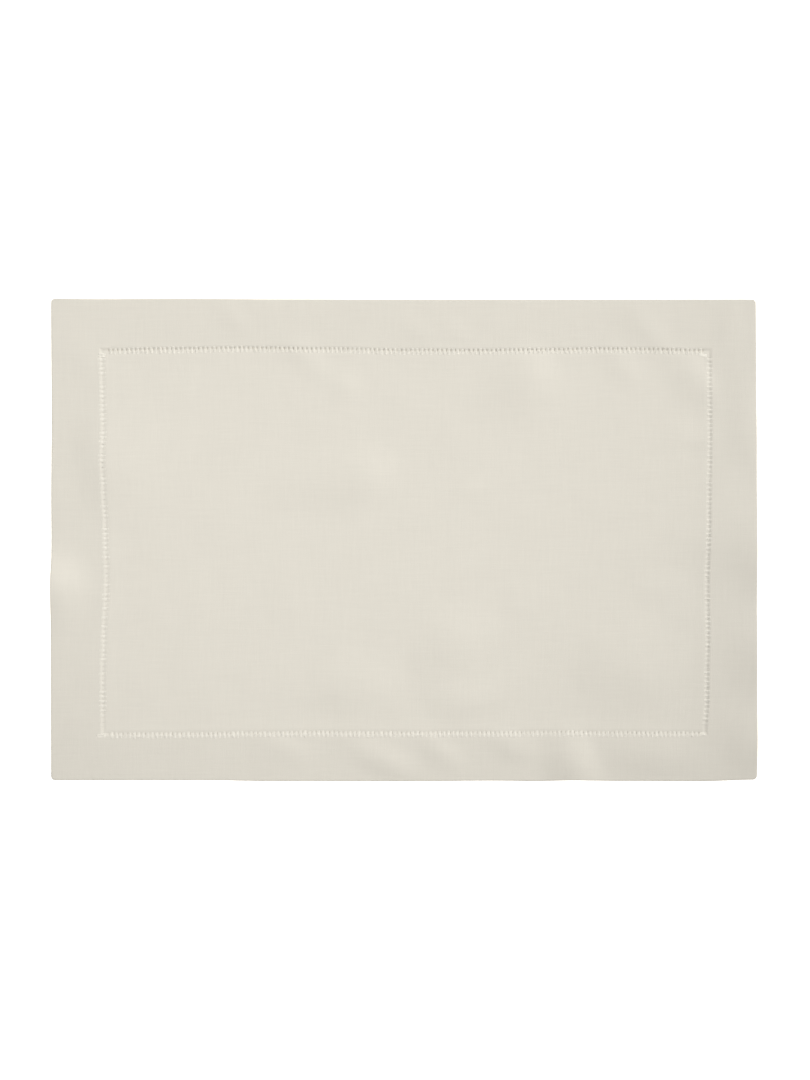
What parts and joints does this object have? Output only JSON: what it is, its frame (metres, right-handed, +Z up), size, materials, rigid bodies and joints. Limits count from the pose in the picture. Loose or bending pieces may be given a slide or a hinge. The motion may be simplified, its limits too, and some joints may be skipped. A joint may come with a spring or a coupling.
{
  "type": "fabric placemat",
  "caption": "Flat rectangular linen placemat with a wide turned hem and a hemstitched row along the hem's inner edge.",
  "frame": {"origin": "middle of the placemat's outline, on the surface that it lies on", "axes": "+X along the long side, +Y along the short side, +Z up out of the face that is seen in use"},
  "size_m": [0.4837, 0.3305, 0.0051],
  "materials": {
    "linen": "matt plain-woven linen, natural ecru"
  },
  "bodies": {
    "root": {"placemat_cloth": "linen"}
  },
  "joints": []
}
